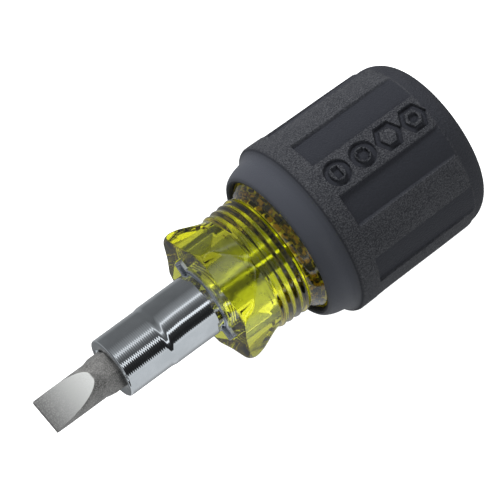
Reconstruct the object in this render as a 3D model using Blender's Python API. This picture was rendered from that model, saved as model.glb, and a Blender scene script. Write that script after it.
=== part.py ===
"""Stubby multi-bit screwdriver.

A reversible plated tube slides in a clear plastic handle with a rubber grip. A double-ended bit
sits in a hexagon socket at each end of the tube, held by a sprung ball. The tool lies along X:
the blade tip is at the origin, the handle ends at +X, and +Z is up.
Angles are measured round the tool's axis, from +Z towards -Y.
"""

import math

import bmesh
import bpy
from mathutils import Matrix, Vector

MM = 0.001

# Bits: double-ended, a flat blade at one end and a cross point at the other
BIT_LENGTH = 33.0 * MM
HEX_ACROSS_FLATS = 6.35 * MM
HEX_LENGTH = 10.6 * MM
HEX_CONE = 1.3 * MM  # the cone between the hexagon and the round shank
SHANK_RELIEF = 0.005 * MM  # the large shank is turned just below the flats
LARGE_SHANK_R = HEX_ACROSS_FLATS / 2 - SHANK_RELIEF
SMALL_SHANK_R = 2.38 * MM
BLADE_TIP_HALF = 0.5 * MM  # half the thickness of the blade at its tip
LARGE_GRIND = 9.3 * MM  # length of the flats ground on the blade
SMALL_GRIND = 7.4 * MM
CROSS_GRIND = 8.0 * MM  # length of the four flutes of the cross point
CROSS_TIP_R = 1.0 * MM

# Detent in each bit
BALL_R = 1.0 * MM
BALL_HOLE_CLEARANCE = 0.05 * MM
SPRING_R = 0.72 * MM
SPRING_WIRE_R = 0.13 * MM
SPRING_LENGTH = 2.3 * MM
SPRING_TURNS = 4
SPRING_GAP = 0.12 * MM

# Tube
SOCKET_DEPTH = 8.8 * MM
SOCKET_CLEARANCE = 0.05 * MM
SEAT_GAP = 0.1 * MM  # between a bit's hexagon and the shoulder of its socket
BIT_GAP = 0.9 * MM  # between the inner ends of the two bits
NUT_ACROSS_FLATS = 7.94 * MM
NUT_DEPTH = 4.5 * MM
NUT_WALL = 0.716 * MM  # the least wall, at a corner of the nut socket
SHANK_CLEARANCE = 0.23 * MM
TUBE_STEP = 0.15 * MM  # how much the middle is thicker than the ends
TUBE_END = 8.3 * MM
TUBE_CONE = 0.9 * MM
TUBE_EDGE = 0.3 * MM
EAR_RISE = 1.35 * MM
EAR_LENGTH = 5.6 * MM
EAR_WIDTH = 2.1 * MM
EAR_ANGLE = math.radians(108.75)  # from a flat of the hexagon

# Sleeve in the handle's mouth
SLIDE_CLEARANCE = 0.08 * MM
SLOT_CLEARANCE = 0.2 * MM
SLEEVE_WALL = 0.5 * MM
SLEEVE_LENGTH = 7.4 * MM
SLEEVE_FIT = 0.1 * MM

# Clear core of the handle, lengths from its front face
LOBES = 6
LOBE_ANGLE = math.radians(105)  # a lobe stands over each slot
EAR_INSET = 0.5 * MM
NECK_WALL = 2.6 * MM
FLANGE_RISE = 1.8 * MM
FLUTE_RISE = 0.15 * MM  # how far the floor of a flute stands above the neck
FLANGE_CREST = 1.2 * MM
FLANGE_EDGE = 1.0 * MM  # how far the face's edge is inside the crest
NECK_START = 6.8 * MM
RIDGES = 4
RIDGE_PITCH = 1.45 * MM
RIDGE_HEIGHT = 0.32 * MM
NECK_FLARE = 0.35 * MM
FLARE_RISE = 1.95 * MM
MOUTH = 15.3 * MM
TUBE_END_GAP = 0.5 * MM
POCKET_CLEARANCE = 0.4 * MM
POCKET_END_GAP = 1.4 * MM
END_WALL = 11.7 * MM
END_DISC_R = 8.5 * MM
END_DISC_LENGTH = 3.0 * MM
TEETH = 36
TOOTH_LENGTH = 2.0 * MM
TOOTH_HEIGHT = 1.0 * MM
TOOTH_WIDTH = 1.05 * MM
TOOTH_FIT = 0.15 * MM

# Rubber grip, lengths from the core's front face
BOND_GAP = 0.3 * MM
GRIP_WALL = 2.7 * MM
RIBS = 8
RIB_HEIGHT = 0.7 * MM
RIB_HALF = math.radians(12)
RIB_SIDE = math.radians(2)
LIP_START = 14.5 * MM
BAND_START = 19.5 * MM
BAND_END = 22.8 * MM
SHOULDER_R = 4.5 * MM
LIP_RISE = 0.35 * MM  # from the bore to the lip's inner edge
LIP_ROUND = 0.3 * MM
COLLAR_RISE = 1.3 * MM  # from the bore to the front of the collar
COLLAR_FRONT = 2.2 * MM  # length of the collar's steeper front
COLLAR_SLOPE = 0.65 * MM, 0.95 * MM  # how far it rises by the end of that front, and by the band
BAND_FOOT = 1.0 * MM  # where the step up to the band starts, ahead of it
BAND_STEP = 0.75 * MM
BAND_EDGE = 0.4 * MM
RIB_STEP = 0.2 * MM
RIB_DROP = 0.13 * MM, 0.37 * MM  # how far the ribs' tops are below the band, at the front and rear
END_SINK = 0.3 * MM  # the core's end disc lies below the rubber

ROUND = 48  # points round the tube and its bores
CORE_POINTS = 60


def across_corners(across_flats):
    return across_flats / math.cos(math.radians(30))


# Where the pieces come along X
HEX_START = (BIT_LENGTH - HEX_LENGTH) / 2
TUBE_START = HEX_START + HEX_LENGTH + SEAT_GAP - SOCKET_DEPTH
REAR_BIT_START = BIT_LENGTH + BIT_GAP
REAR_SHOULDER = REAR_BIT_START + HEX_START - SEAT_GAP
TUBE_LENGTH = REAR_SHOULDER + SOCKET_DEPTH + NUT_DEPTH - TUBE_START
FACE = TUBE_START + (TUBE_LENGTH - EAR_LENGTH) / 2 - EAR_INSET
BORE_END = TUBE_START + TUBE_LENGTH + TUBE_END_GAP
POCKET_END = REAR_BIT_START + BIT_LENGTH + POCKET_END_GAP
HANDLE_END = POCKET_END + END_WALL

# Radii, from the inside out
TUBE_BORE_R = LARGE_SHANK_R + SHANK_CLEARANCE
TUBE_END_R = across_corners(NUT_ACROSS_FLATS) / 2 + NUT_WALL
TUBE_R = TUBE_END_R + TUBE_STEP
EAR_R = TUBE_R + EAR_RISE
SLEEVE_BORE_R = TUBE_R + SLIDE_CLEARANCE
SLEEVE_R = SLEEVE_BORE_R + SLEEVE_WALL
SLEEVE_SLOT_R = EAR_R + SLOT_CLEARANCE + SLEEVE_WALL
NECK_R = SLEEVE_SLOT_R + SLEEVE_FIT + NECK_WALL
FLANGE_R = NECK_R + FLANGE_RISE
CORE_R = NECK_R + FLARE_RISE
GRIP_BORE_R = CORE_R + BOND_GAP
FLOOR_R = GRIP_BORE_R + GRIP_WALL
BAND_R = FLOOR_R + RIB_HEIGHT
POCKET_R = LARGE_SHANK_R + POCKET_CLEARANCE
SHAFT_ANGLE = LOBE_ANGLE - EAR_ANGLE  # turns the tube so that its ears enter the slots


def clear_scene():
    for obj in list(bpy.data.objects):
        bpy.data.objects.remove(obj, do_unlink=True)


def material(name, colour, roughness, metallic=0.0, transmission=0.0):
    made = bpy.data.materials.new(name)
    made.use_nodes = True
    shader = made.node_tree.nodes["Principled BSDF"]
    shader.inputs["Base Color"].default_value = (*colour, 1.0)
    shader.inputs["Roughness"].default_value = roughness
    shader.inputs["Metallic"].default_value = metallic
    shader.inputs["Transmission Weight"].default_value = transmission
    return made


def even_angles(count, start=0.0):
    return [start + 2 * math.pi * i / count for i in range(count)]


def outline(angles, radius):
    """Points (y, z) at these angles. The radius is a number, or a function of the angle."""
    reach = radius if callable(radius) else lambda angle: radius
    return [(-reach(a) * math.sin(a), reach(a) * math.cos(a)) for a in angles]


def add_object(name, mesh, parent, look=None, location=(0, 0, 0), turn=0.0):
    obj = bpy.data.objects.new(name, mesh)
    bpy.context.scene.collection.objects.link(obj)
    obj.parent = parent
    obj.location = location
    obj.rotation_euler = (turn, 0, 0)
    if look:
        mesh.materials.append(look)
    return obj


def as_helper(obj):
    obj.hide_render = True
    obj.display_type = "WIRE"
    return obj


def mesh_of(name, bm):
    bmesh.ops.recalc_face_normals(bm, faces=bm.faces)
    mesh = bpy.data.meshes.new(name)
    bm.to_mesh(mesh)
    bm.free()
    mesh.shade_smooth()
    mesh.set_sharp_from_angle(angle=math.radians(32))
    return mesh


def skin(name, sections, through=False):
    """A closed mesh over cross-sections (x, outline), with both ends capped.

    With through set, the last section joins the first instead, as round a hole right through.
    """
    bm = bmesh.new()
    rings = [[bm.verts.new((x, y, z)) for y, z in points] for x, points in sections]
    pairs = list(zip(rings, rings[1:]))
    if through:
        pairs.append((rings[-1], rings[0]))
    else:
        bm.faces.new(rings[0])
        bm.faces.new(rings[-1])
    for first, second in pairs:
        for i in range(len(first)):
            j = (i + 1) % len(first)
            bm.faces.new((first[i], first[j], second[j], second[i]))
    return mesh_of(name, bm)


def turned(name, profile, angles, through=False):
    """A skin over round sections (x, radius)."""
    return skin(name, [(x, outline(angles, r)) for x, r in profile], through)


def blocks(name, angles, x_from, x_to, r_from, r_to, width):
    """Equal blocks set round the axis, each reaching from one radius to another."""
    bm = bmesh.new()
    size = Matrix.Diagonal((x_to - x_from, width, r_to - r_from, 1))
    place = Matrix.Translation(((x_from + x_to) / 2, 0, (r_from + r_to) / 2))
    for angle in angles:
        bmesh.ops.create_cube(bm, size=1, matrix=Matrix.Rotation(angle, 4, "X") @ place @ size)
    return mesh_of(name, bm)


def combine(obj, tool, operation):
    modifier = obj.modifiers.new(tool.name, "BOOLEAN")
    modifier.operation = operation
    modifier.solver = "EXACT"
    modifier.object = tool


def hexagon(across_flats):
    """The radius of a hexagon as a function of the angle, with a flat at angle 0."""
    sixth = math.radians(60)
    return lambda a: across_flats / 2 / math.cos((a + sixth / 2) % sixth - sixth / 2)


def hex_cutter(name, across_flats, x_from, x_to, parent):
    angles = even_angles(6, math.radians(30))
    mesh = turned(name, [(x, across_corners(across_flats) / 2) for x in (x_from, x_to)], angles)
    return as_helper(add_object(name, mesh, parent))


# ---------------------------------------------------------------------------- bits


def bit_mesh(name, shank_r, grind):
    """A bit from its blade tip at x = 0 to its cross point at BIT_LENGTH."""
    angles = even_angles(36)
    hex_r = hexagon(HEX_ACROSS_FLATS)
    hex_end = HEX_START + HEX_LENGTH
    corner_r = across_corners(HEX_ACROSS_FLATS) / 2

    def blade(x):
        half = BLADE_TIP_HALF + (shank_r - BLADE_TIP_HALF) * x / grind
        return [(y, max(-half, min(half, z))) for y, z in outline(angles, shank_r)]

    def body(cone_r):
        return outline(angles, lambda a: min(hex_r(a), cone_r))

    def cross(depth):
        """depth runs from 0 where the flutes start to 1 at the point."""
        reach = shank_r + (CROSS_TIP_R - shank_r) * depth
        groove = 0.62 * reach * min(1.0, 1.6 * depth)
        return outline(angles, lambda a: reach - groove * abs(math.sin(2 * a)) ** 0.7)

    sections = [(grind * i / 8, blade(grind * i / 8)) for i in range(9)]
    for i in range(5):
        share = i / 4
        radius = shank_r + (corner_r - shank_r) * share
        sections.append((HEX_START - HEX_CONE * (1 - share), body(radius)))
    for i in range(5):
        share = i / 4
        radius = corner_r + (shank_r - corner_r) * share
        sections.append((hex_end - HEX_CONE * (1 - share), body(radius)))
    for i in range(7):
        share = i / 6
        sections.append((BIT_LENGTH - CROSS_GRIND * (1 - share), cross(share)))
    return skin(name, sections)


def spring_object(name, look, parent, location):
    """A coil standing along Z, with its lower end at the location."""
    curve = bpy.data.curves.new(name, "CURVE")
    curve.dimensions = "3D"
    curve.bevel_depth = SPRING_WIRE_R
    curve.bevel_resolution = 1
    curve.use_fill_caps = True
    steps = 12 * SPRING_TURNS
    spline = curve.splines.new("POLY")
    spline.points.add(steps)
    for i, point in enumerate(spline.points):
        angle = 2 * math.pi * SPRING_TURNS * i / steps
        height = SPRING_WIRE_R + (SPRING_LENGTH - 2 * SPRING_WIRE_R) * i / steps
        point.co = (SPRING_R * math.cos(angle), SPRING_R * math.sin(angle), height, 1)
    curve.materials.append(look)
    return add_object(name, curve, parent, location=location)


def add_bit(name, shank_r, grind, looks, parent, location, turned_round):
    bit = add_object(name, bit_mesh(name, shank_r, grind), parent, looks["bit"], location)
    if turned_round:
        bit.rotation_euler = (0, 0, math.pi)
    middle = BIT_LENGTH / 2
    flat = HEX_ACROSS_FLATS / 2
    ball_low = flat - 2 * BALL_R
    hole_low = ball_low - SPRING_LENGTH - 2 * SPRING_GAP

    bm = bmesh.new()
    bmesh.ops.create_cone(
        bm,
        cap_ends=True,
        segments=24,
        radius1=BALL_R + BALL_HOLE_CLEARANCE,
        radius2=BALL_R + BALL_HOLE_CLEARANCE,
        depth=flat + BALL_R - hole_low,
        matrix=Matrix.Translation((middle, 0, (flat + BALL_R + hole_low) / 2)),
    )
    hole = as_helper(add_object(name + "_hole", mesh_of(name + "_hole", bm), bit))
    combine(bit, hole, "DIFFERENCE")

    bm = bmesh.new()
    bmesh.ops.create_icosphere(bm, subdivisions=2, radius=BALL_R)
    ball = mesh_of(name + "_ball", bm)
    add_object(name + "_ball", ball, bit, looks["ball"], (middle, 0, flat - BALL_R))
    spring_object(name + "_spring", looks["spring"], bit, (middle, 0, hole_low + SPRING_GAP))
    return bit


# ---------------------------------------------------------------------------- tube


def add_shaft(look, root):
    """The tube, in its own frame: its front end at x = 0, a flat of its sockets facing +Z."""
    socket_r = HEX_ACROSS_FLATS / 2 + SOCKET_CLEARANCE
    edge_r = TUBE_END_R - TUBE_EDGE
    cone_end = TUBE_END + TUBE_CONE
    half_profile = [
        (0, edge_r),
        (TUBE_EDGE * 0.3, TUBE_END_R - TUBE_EDGE * 0.3),
        (TUBE_EDGE, TUBE_END_R),
        (TUBE_END, TUBE_END_R),
        (cone_end, TUBE_R),
    ]
    profile = half_profile + [(TUBE_LENGTH - x, r) for x, r in reversed(half_profile)]
    profile += [(TUBE_LENGTH, TUBE_BORE_R), (0, TUBE_BORE_R)]
    mesh = turned("shaft", profile, even_angles(ROUND), through=True)
    shaft = add_object("shaft", mesh, root, look, (TUBE_START, 0, 0), SHAFT_ANGLE)

    ear_angles = [EAR_ANGLE, EAR_ANGLE + math.pi]
    middle = TUBE_LENGTH / 2
    ears = blocks(
        "ears",
        ear_angles,
        middle - EAR_LENGTH / 2,
        middle + EAR_LENGTH / 2,
        TUBE_R - NUT_WALL,
        EAR_R,
        EAR_WIDTH,
    )
    ears = as_helper(add_object("ears", ears, shaft))
    rounding = ears.modifiers.new("rounding", "BEVEL")
    rounding.width = EAR_RISE / 4
    rounding.segments = 2
    combine(shaft, ears, "UNION")

    over = TUBE_EDGE
    deep = SOCKET_DEPTH + NUT_DEPTH
    socket_flats = 2 * socket_r
    cuts = [
        hex_cutter("front_socket", socket_flats, -over, SOCKET_DEPTH, shaft),
        hex_cutter("rear_socket", socket_flats, TUBE_LENGTH - deep, TUBE_LENGTH + over, shaft),
        hex_cutter(
            "nut_socket",
            NUT_ACROSS_FLATS,
            TUBE_LENGTH - NUT_DEPTH,
            TUBE_LENGTH + over,
            shaft,
        ),
    ]
    for cut in cuts:
        combine(shaft, cut, "DIFFERENCE")
    return shaft


# ---------------------------------------------------------------------------- handle


def keyhole(bore_r, slot_r, width):
    """Points (y, z) of a round bore with a slot at each side, the first one at LOBE_ANGLE."""
    half = width / 2
    corner = math.atan(half / slot_r)
    foot = math.asin(half / bore_r)
    top_r = slot_r / math.cos(corner)
    steps = CORE_POINTS // 2 - 4
    side = [(0, slot_r), (corner, top_r), (foot, bore_r)]
    side += [(foot + (math.pi - 2 * foot) * i / steps, bore_r) for i in range(1, steps)]
    side += [(math.pi - foot, bore_r), (math.pi - corner, top_r)]
    points = [(LOBE_ANGLE + turn + a, r) for turn in (0, math.pi) for a, r in side]
    return [(-r * math.sin(a), r * math.cos(a)) for a, r in points]


def add_sleeve(look, root):
    """A thin keyhole-shaped sleeve: a tube with two opposite slots for the ears."""
    slot_width = EAR_WIDTH + 2 * SLOT_CLEARANCE
    inside = keyhole(SLEEVE_BORE_R, EAR_R + SLOT_CLEARANCE, slot_width)
    outside = keyhole(SLEEVE_R, SLEEVE_SLOT_R, slot_width + 2 * SLEEVE_WALL)
    start, end = FACE, FACE + SLEEVE_LENGTH
    sections = [(start, inside), (start, outside), (end, outside), (end, inside)]
    add_object("socket_liner", skin("socket_liner", sections, through=True), root, look)


def flute_radius(angle):
    """The scooped sides between the flange's lobes, as a radius at this angle."""
    step = 2 * math.pi / LOBES
    valley_r = NECK_R + FLUTE_RISE
    away = abs((angle - LOBE_ANGLE) % step - step / 2) / (step / 2)
    return valley_r + (FLANGE_R - valley_r) * away**2


def core_outer():
    """Sections (x, radius or radius function) of the core from its face to its end disc."""

    def lobed(r):
        return lambda a: min(r, flute_radius(a))

    crest = FACE + FLANGE_CREST
    neck = FACE + NECK_START
    edge_r = FLANGE_R - FLANGE_EDGE
    sections = [
        (FACE, lobed(edge_r)),
        (FACE + FLANGE_CREST * 0.3, lobed(edge_r + FLANGE_EDGE * 0.55)),
        (crest, lobed(FLANGE_R)),
    ]
    for i in range(1, 5):
        share = i / 4
        fall = (1 - math.cos(math.pi * share)) / 2
        radius = FLANGE_R + (NECK_R - FLANGE_R) * (0.6 * share + 0.4 * fall)
        sections.append((crest + (neck - crest) * share, lobed(radius)))
    for i in range(RIDGES):
        start = neck + RIDGE_PITCH * i
        base = NECK_R + NECK_FLARE * (i + 1) / RIDGES
        sections.append((start + RIDGE_PITCH * 0.15, base - NECK_FLARE / RIDGES))
        sections.append((start + RIDGE_PITCH * 0.4, base + RIDGE_HEIGHT))
        sections.append((start + RIDGE_PITCH * 0.8, base + RIDGE_HEIGHT * 0.8))
    last = neck + RIDGE_PITCH * RIDGES
    mouth = FACE + MOUTH
    sections.append((last + RIDGE_PITCH * 0.15, NECK_R + NECK_FLARE))
    sections.append(((last + mouth) / 2, NECK_R + NECK_FLARE + (FLARE_RISE - NECK_FLARE) * 0.5))
    disc_start = HANDLE_END - END_DISC_LENGTH - BOND_GAP
    sections += [
        (mouth, CORE_R),
        (disc_start - END_DISC_LENGTH, CORE_R),
        (disc_start, END_DISC_R + (CORE_R - END_DISC_R) / 2),
        (disc_start, END_DISC_R),
        (HANDLE_END - END_SINK, END_DISC_R),
    ]
    return sections


def add_core(look, root):
    angles = even_angles(CORE_POINTS, LOBE_ANGLE)
    sleeve_end = FACE + SLEEVE_LENGTH + SLEEVE_FIT
    recess = keyhole(
        SLEEVE_R + SLEEVE_FIT,
        SLEEVE_SLOT_R + SLEEVE_FIT,
        EAR_WIDTH + 2 * (SLOT_CLEARANCE + SLEEVE_WALL + SLEEVE_FIT),
    )
    sections = [
        (POCKET_END, outline(angles, POCKET_R)),
        (BORE_END, outline(angles, POCKET_R)),
        (BORE_END, outline(angles, SLEEVE_BORE_R)),
        (sleeve_end, outline(angles, SLEEVE_BORE_R)),
        (sleeve_end, recess),
        (FACE, recess),
    ]
    sections += [(x, outline(angles, r)) for x, r in core_outer()]
    core = add_object("handle_core", skin("handle_core", sections), root, look)

    notches = blocks(
        "core_notches",
        even_angles(TEETH),
        FACE + MOUTH + BOND_GAP,
        FACE + MOUTH + BOND_GAP + TOOTH_LENGTH,
        CORE_R - TOOTH_HEIGHT,
        CORE_R + TOOTH_HEIGHT,
        TOOTH_WIDTH,
    )
    combine(core, as_helper(add_object("core_notches", notches, root)), "DIFFERENCE")


def rib_angles():
    """Angles round the grip, with a point at each edge and foot of every rib."""
    pitch = 2 * math.pi / RIBS
    foot = RIB_HALF + RIB_SIDE / 2
    edge = RIB_HALF - RIB_SIDE / 2
    around = [0, edge / 2, edge, foot, pitch / 2, pitch - foot, pitch - edge, pitch - edge / 2]
    return [pitch * i + a for i in range(RIBS) for a in around]


def ribbed(rib_r, floor_r):
    """The rib radius on the ribs and the floor radius between them."""
    pitch = 2 * math.pi / RIBS

    def radius(angle):
        away = abs((angle + pitch / 2) % pitch - pitch / 2)
        return rib_r if away < RIB_HALF else floor_r

    return radius


def add_grip(look, root):
    """The rubber sleeve, over the core from the lip at its mouth to the end of the handle."""
    angles = rib_angles()
    lip = FACE + LIP_START
    mouth = FACE + MOUTH
    band = FACE + BAND_START
    band_end = FACE + BAND_END
    ribs_end = HANDLE_END - SHOULDER_R
    hole_r = END_DISC_R + BOND_GAP
    cavity_end = HANDLE_END - END_DISC_LENGTH
    lip_r = GRIP_BORE_R + LIP_RISE
    collar_r = GRIP_BORE_R + COLLAR_RISE
    outer = [
        (lip, lip_r),
        (lip + LIP_ROUND, lip_r + 2 * LIP_ROUND),
        (mouth + RIB_STEP, collar_r),
        (mouth + COLLAR_FRONT, collar_r + COLLAR_SLOPE[0]),
        (band - BAND_FOOT, collar_r + COLLAR_SLOPE[1]),
        (band - BAND_FOOT / 3, BAND_R - BAND_STEP),
        (band, BAND_R - BAND_EDGE / 4),
        (band + BAND_EDGE, BAND_R),
        (band_end, BAND_R),
        (band_end + RIB_STEP, ribbed(BAND_R, FLOOR_R)),
        (band_end + 2 * BAND_FOOT, ribbed(BAND_R - RIB_DROP[0], FLOOR_R)),
        (ribs_end - 3 * RIB_STEP, ribbed(BAND_R - RIB_DROP[1], FLOOR_R)),
        (ribs_end, ribbed(FLOOR_R, FLOOR_R)),
    ]
    for i in range(1, 6):
        bend = math.radians(18 * i)
        radius = FLOOR_R - SHOULDER_R * (1 - math.cos(bend))
        outer.append((ribs_end + SHOULDER_R * math.sin(bend), radius))
    inner = [
        (HANDLE_END, hole_r),
        (cavity_end, hole_r),
        (cavity_end, GRIP_BORE_R - (CORE_R - END_DISC_R) / 2),
        (cavity_end - END_DISC_LENGTH, GRIP_BORE_R),
        (lip, GRIP_BORE_R),
    ]
    sections = [(x, outline(angles, r)) for x, r in outer + inner]
    grip = add_object("grip", skin("grip", sections, through=True), root, look)

    keys = blocks(
        "grip_keys",
        even_angles(TEETH),
        mouth + BOND_GAP + TOOTH_FIT,
        mouth + BOND_GAP + TOOTH_LENGTH - TOOTH_FIT,
        CORE_R - TOOTH_HEIGHT + TOOTH_FIT,
        GRIP_BORE_R + BOND_GAP,
        TOOTH_WIDTH - 2 * TOOTH_FIT,
    )
    combine(grip, as_helper(add_object("grip_keys", keys, root)), "UNION")


def main():
    clear_scene()
    looks = {
        "core": material("clear_yellow_green", (0.62, 0.66, 0.02), 0.06, transmission=1.0),
        "grip": material("black_rubber", (0.018, 0.019, 0.022), 0.6),
        "sleeve": material("bright_steel", (0.62, 0.63, 0.65), 0.22, metallic=1.0),
        "tube": material("chrome", (0.72, 0.73, 0.75), 0.08, metallic=1.0),
        "bit": material("blasted_steel", (0.32, 0.31, 0.3), 0.42, metallic=1.0),
        "ball": material("polished_steel", (0.7, 0.7, 0.7), 0.1, metallic=1.0),
        "spring": material("spring_wire", (0.45, 0.44, 0.42), 0.3, metallic=1.0),
    }
    root = add_object("screwdriver", None, None)
    add_core(looks["core"], root)
    add_grip(looks["grip"], root)
    add_sleeve(looks["sleeve"], root)
    shaft = add_shaft(looks["tube"], root)
    front = Vector((-TUBE_START, 0, 0))
    rear = Vector((REAR_BIT_START + BIT_LENGTH - TUBE_START, 0, 0))
    add_bit("front_bit", LARGE_SHANK_R, LARGE_GRIND, looks, shaft, front, False)
    add_bit("rear_bit", SMALL_SHANK_R, SMALL_GRIND, looks, shaft, rear, True)


main()
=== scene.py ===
"""Looks of the stubby multi-bit screwdriver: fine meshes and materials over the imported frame.

The tool lies along X with its blade tip at the origin. Angles are measured round its axis, from +Z
towards -Y. Lengths are written in millimetres and multiplied by MM.
"""

import math

import bmesh
import bpy
import numpy as np
from mathutils import Matrix, Vector


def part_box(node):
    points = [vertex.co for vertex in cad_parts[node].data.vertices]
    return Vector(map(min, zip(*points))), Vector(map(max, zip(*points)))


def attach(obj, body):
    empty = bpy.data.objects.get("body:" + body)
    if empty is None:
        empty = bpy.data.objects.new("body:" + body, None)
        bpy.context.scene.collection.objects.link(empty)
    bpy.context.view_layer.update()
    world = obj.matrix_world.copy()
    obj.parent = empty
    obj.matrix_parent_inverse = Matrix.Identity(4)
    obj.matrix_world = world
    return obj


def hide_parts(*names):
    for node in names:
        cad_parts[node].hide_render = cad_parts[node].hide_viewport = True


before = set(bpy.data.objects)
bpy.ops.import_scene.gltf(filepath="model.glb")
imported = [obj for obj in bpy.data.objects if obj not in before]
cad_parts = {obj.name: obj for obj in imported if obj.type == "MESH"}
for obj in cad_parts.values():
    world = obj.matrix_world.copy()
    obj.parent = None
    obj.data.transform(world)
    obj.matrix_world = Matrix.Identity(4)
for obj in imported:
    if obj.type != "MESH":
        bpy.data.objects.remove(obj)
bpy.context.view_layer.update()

MM = 0.001
TURN = 2 * math.pi

# ------------------------------------------------------------------ sizes, taken from the frame
face_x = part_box("handle_core")[0][0]
core_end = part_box("handle_core")[1][0]
handle_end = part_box("grip")[1][0]
lip_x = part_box("grip")[0][0]
band_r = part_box("grip")[1][2]
tube_x, tube_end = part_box("shaft")[0][0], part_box("shaft")[1][0]
bit_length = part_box("front_bit")[1][0]
rear_bit_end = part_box("rear_bit")[1][0]
liner_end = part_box("socket_liner")[1][0]
floor_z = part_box("grip")[0][2]

# Sizes, most of which the solids have too
HEX_FLATS = 6.35 * MM
HEX_LENGTH = 10.6 * MM
HEX_CHAMFER = 1.3 * MM  # length of the cone at each end of the hexagon
NUT_FLATS = 7.94 * MM
HOLE_CLEARANCE = 0.05 * MM
HOLE_DEPTH = 3.5 * MM  # below the ball's centre
HOLE_TOP = 2.0 * MM  # above it, outside the bit
TUBE_END_R = 5.3 * MM
TUBE_R = 5.45 * MM
TUBE_STEP = 8.25 * MM  # from either end of the tube to the step up to its middle
BORE_R = 5.53 * MM  # of the handle, for the tube
POCKET_R = 3.57 * MM  # of the handle, for the rear bit
EAR_R = 6.8 * MM
EAR_LENGTH = 5.6 * MM
EAR_WIDTH = 2.1 * MM
SLOT_ROUND = 0.8 * MM  # over which a slot's corners are rounded
LINER_PROUD = 0.5 * MM  # how far the liner stands out of the core's face
CORE_R = 12.15 * MM
NECK_R = 10.2 * MM
FLANGE_R = 12.0 * MM
DISC_R = 8.55 * MM  # of the clear disc in the rear of the rubber
FLOOR_R = 15.15 * MM  # of the rubber between its ribs
REAR_BEND_R = 4.5 * MM  # of the rubber's rear edge
LOBE_ANGLE = math.radians(105)  # of one of the flange's lobes, and of one of the slots
SHAFT_ANGLE = math.radians(-3.75)  # of one of the hexagon's flats, and of the blade
SIXTH_TURN = TURN / 6

# Places along the handle
band_start = face_x + 19.5 * MM  # the plain band of rubber round the front of the ribs
band_end = face_x + 22.8 * MM
shoulder = handle_end - REAR_BEND_R
blocks_x = face_x + 13.2 * MM  # the amber blocks inside the neck
backing_x = face_x + 13.3 * MM

SHARP_ANGLE = math.radians(38)  # between faces whose shared edge stays sharp


# ------------------------------------------------------------------ mesh helpers
def smooth(t):
    """An even rise from 0 to 1 as t does, level at both ends."""
    t = np.clip(t, 0, 1)
    return t * t * (3 - 2 * t)


def smooth_min(a, b, width):
    """The lower of two radii, with the corner between them rounded."""
    h = np.clip(0.5 + 0.5 * (b - a) / width, 0, 1)
    return b * (1 - h) + a * h - width * h * (1 - h)


def through_points(points, x):
    """A smooth curve through a few (x, radius) points, with no overshoot between them."""
    px, pr = np.array(points).T
    slopes = np.diff(pr) / np.diff(px)
    tangents = np.zeros(len(px))
    for i in range(1, len(px) - 1):
        if slopes[i - 1] * slopes[i] > 0:
            tangents[i] = 2 / (1 / slopes[i - 1] + 1 / slopes[i])
    tangents[0], tangents[-1] = slopes[0], slopes[-1]
    i = np.clip(np.searchsorted(px, x) - 1, 0, len(px) - 2)
    gap = px[i + 1] - px[i]
    t = (x - px[i]) / gap
    return (
        (2 * t**3 - 3 * t**2 + 1) * pr[i]
        + (t**3 - 2 * t**2 + t) * gap * tangents[i]
        + (3 * t**2 - 2 * t**3) * pr[i + 1]
        + (t**3 - t**2) * gap * tangents[i + 1]
    )


def put(name, data):
    """A new object in the scene."""
    obj = bpy.data.objects.new(name, data)
    bpy.context.scene.collection.objects.link(obj)
    return obj


def polar(x, radius, angles):
    """A ring of points at x. radius is one number or one for each angle."""
    r = np.broadcast_to(radius, angles.shape)
    return np.stack([np.full(len(angles), x), -r * np.sin(angles), r * np.cos(angles)], axis=1)


def skin(name, rings, through=False, relief=None):
    """A closed mesh over rings of points, capped at both ends or joined into a loop.

    relief is a value at each point, which a material can read.
    """
    points = np.array(rings)
    count, around = points.shape[:2]
    index = np.arange(count * around).reshape(count, around)
    last = count if through else count - 1
    a = index[:last]
    b = np.roll(index, -1, axis=0)[:last]
    quads = np.stack([a, np.roll(a, -1, axis=1), np.roll(b, -1, axis=1), b], axis=-1)
    faces = quads.reshape(-1, 4).tolist()
    if not through:
        faces += [index[0][::-1].tolist(), index[-1].tolist()]
    mesh = bpy.data.meshes.new(name)
    mesh.from_pydata(points.reshape(-1, 3).tolist(), [], faces)
    mesh.validate()
    mesh.shade_smooth()
    mesh.set_sharp_from_angle(angle=SHARP_ANGLE)
    if relief is not None:
        values = mesh.attributes.new("relief", "FLOAT", "POINT")
        values.data.foreach_set("value", np.array(relief, np.float32).reshape(-1))
    return put(name, mesh)


def spread(start, end, step):
    """Evenly spaced positions from start up to end, without the end itself."""
    count = max(1, round((end - start) / step))
    return np.linspace(start, end, count, endpoint=False)


def even(count, start=0.0):
    """Evenly spaced angles all the way round."""
    return start + TURN * np.arange(count) / count


def dress(obj, look, body, slot, *nodes):
    """Gives a piece its material and body, and hides the CAD nodes that it stands for. slot is not used."""
    obj.data.materials.append(look)
    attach(obj, body)
    if nodes:
        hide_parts(*nodes)
    return obj


# ------------------------------------------------------------------ node helpers
def feed(links, socket, value):
    """Links another node's output to a socket, or sets its value or colour."""
    if isinstance(value, bpy.types.NodeSocket):
        links.new(value, socket)
    elif socket.type == "RGBA" and len(value) == 3:
        socket.default_value = (*value, 1.0)
    else:
        socket.default_value = value


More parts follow.
